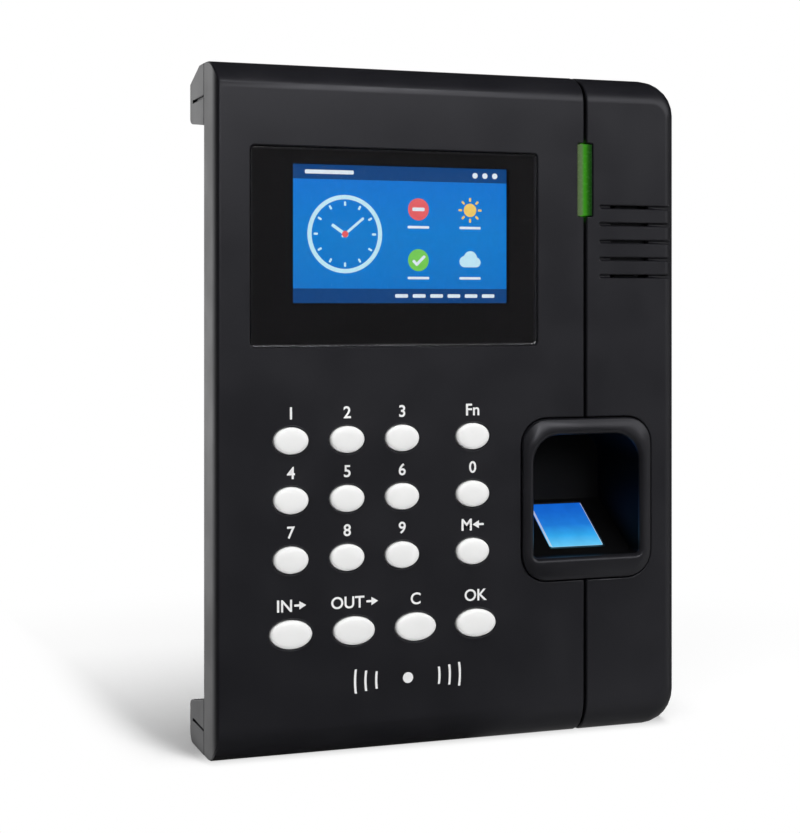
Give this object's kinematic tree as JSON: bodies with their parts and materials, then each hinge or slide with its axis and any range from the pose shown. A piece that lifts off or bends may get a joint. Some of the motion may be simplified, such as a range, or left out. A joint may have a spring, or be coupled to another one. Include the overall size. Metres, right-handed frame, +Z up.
{
  "type": "fingerprint scanner terminal",
  "caption": "Upright wall-mounted access terminal with a flush colour screen, an oval-key pad, a framed finger well with a slanted lit glass, a status light and a steel wall bracket behind.",
  "frame": {"origin": "under the middle of the terminal, on the surface that it stands on", "axes": "+X to the right as seen from the front, +Y from the front face back towards the wall, +Z up"},
  "size_m": [0.14, 0.0332, 0.19],
  "materials": {
    "black_shell": "fine matte moulded",
    "black_satin": "satin moulded",
    "smoked_window": "glossy dark acrylic",
    "screen_glass": "lit colour screen",
    "white_key": "smooth white",
    "grey_silicone": "matte silicone",
    "light_guide": "milky white",
    "green_light": "translucent green",
    "blue_glass": "blue-lit clear",
    "circuit_board": "green solder mask",
    "plated_steel": "zinc plated",
    "grey_cable": "flat cable jacket",
    "green_terminal": "moulded",
    "blue_relay": "moulded"
  },
  "bodies": {
    "terminal": {"front_cover": "black_shell", "side_cover": "black_shell", "rear_housing": "black_shell", "wall_bracket": "plated_steel", "display_lens": "smoked_window", "lcd_panel": "screen_glass", "lcd_frame": "plated_steel", "lcd_backlight": "light_guide", "lcd_ribbon": "grey_cable", "led_light_pipe": "green_light", "led_board": "circuit_board", "sensor_bezel": "black_satin", "sensor_prism": "blue_glass", "sensor_optics": "black_shell", "sensor_board": "circuit_board", "sensor_cable": "grey_cable", "key_mat": "grey_silicone", "keypad_board": "circuit_board", "keypad_ribbon": "grey_cable", "antenna_board": "circuit_board", "speaker": "black_satin", "main_board": "circuit_board", "ethernet_jack": "plated_steel", "usb_port": "plated_steel", "power_jack": "black_satin", "terminal_block": "green_terminal", "relay": "blue_relay", "battery_holder": "black_satin", "coin_cell": "plated_steel", "board_screw_1": "plated_steel", "board_screw_2": "plated_steel", "board_screw_3": "plated_steel", "board_screw_4": "plated_steel", "housing_screw_1": "plated_steel", "housing_screw_2": "plated_steel", "housing_screw_3": "plated_steel", "housing_screw_4": "plated_steel", "lock_screw": "plated_steel"},
    "key_1": {"key_1": "white_key"},
    "key_2": {"key_2": "white_key"},
    "key_3": {"key_3": "white_key"},
    "key_fn": {"key_fn": "white_key"},
    "key_4": {"key_4": "white_key"},
    "key_5": {"key_5": "white_key"},
    "key_6": {"key_6": "white_key"},
    "key_0": {"key_0": "white_key"},
    "key_7": {"key_7": "white_key"},
    "key_8": {"key_8": "white_key"},
    "key_9": {"key_9": "white_key"},
    "key_menu": {"key_menu": "white_key"},
    "key_in": {"key_in": "white_key"},
    "key_out": {"key_out": "white_key"},
    "key_clear": {"key_clear": "white_key"},
    "key_ok": {"key_ok": "white_key"}
  },
  "joints": [
    {"name": "key_1_press", "type": "slide", "parent": "terminal", "child": "key_1", "axis": [0, 1, 0], "range_m": [0, 0.001], "stiffness_N_per_m": 800},
    {"name": "key_2_press", "type": "slide", "parent": "terminal", "child": "key_2", "axis": [0, 1, 0], "range_m": [0, 0.001], "stiffness_N_per_m": 800},
    {"name": "key_3_press", "type": "slide", "parent": "terminal", "child": "key_3", "axis": [0, 1, 0], "range_m": [0, 0.001], "stiffness_N_per_m": 800},
    {"name": "key_fn_press", "type": "slide", "parent": "terminal", "child": "key_fn", "axis": [0, 1, 0], "range_m": [0, 0.001], "stiffness_N_per_m": 800},
    {"name": "key_4_press", "type": "slide", "parent": "terminal", "child": "key_4", "axis": [0, 1, 0], "range_m": [0, 0.001], "stiffness_N_per_m": 800},
    {"name": "key_5_press", "type": "slide", "parent": "terminal", "child": "key_5", "axis": [0, 1, 0], "range_m": [0, 0.001], "stiffness_N_per_m": 800},
    {"name": "key_6_press", "type": "slide", "parent": "terminal", "child": "key_6", "axis": [0, 1, 0], "range_m": [0, 0.001], "stiffness_N_per_m": 800},
    {"name": "key_0_press", "type": "slide", "parent": "terminal", "child": "key_0", "axis": [0, 1, 0], "range_m": [0, 0.001], "stiffness_N_per_m": 800},
    {"name": "key_7_press", "type": "slide", "parent": "terminal", "child": "key_7", "axis": [0, 1, 0], "range_m": [0, 0.001], "stiffness_N_per_m": 800},
    {"name": "key_8_press", "type": "slide", "parent": "terminal", "child": "key_8", "axis": [0, 1, 0], "range_m": [0, 0.001], "stiffness_N_per_m": 800},
    {"name": "key_9_press", "type": "slide", "parent": "terminal", "child": "key_9", "axis": [0, 1, 0], "range_m": [0, 0.001], "stiffness_N_per_m": 800},
    {"name": "key_menu_press", "type": "slide", "parent": "terminal", "child": "key_menu", "axis": [0, 1, 0], "range_m": [0, 0.001], "stiffness_N_per_m": 800},
    {"name": "key_in_press", "type": "slide", "parent": "terminal", "child": "key_in", "axis": [0, 1, 0], "range_m": [0, 0.001], "stiffness_N_per_m": 800},
    {"name": "key_out_press", "type": "slide", "parent": "terminal", "child": "key_out", "axis": [0, 1, 0], "range_m": [0, 0.001], "stiffness_N_per_m": 800},
    {"name": "key_clear_press", "type": "slide", "parent": "terminal", "child": "key_clear", "axis": [0, 1, 0], "range_m": [0, 0.001], "stiffness_N_per_m": 800},
    {"name": "key_ok_press", "type": "slide", "parent": "terminal", "child": "key_ok", "axis": [0, 1, 0], "range_m": [0, 0.001], "stiffness_N_per_m": 800}
  ]
}
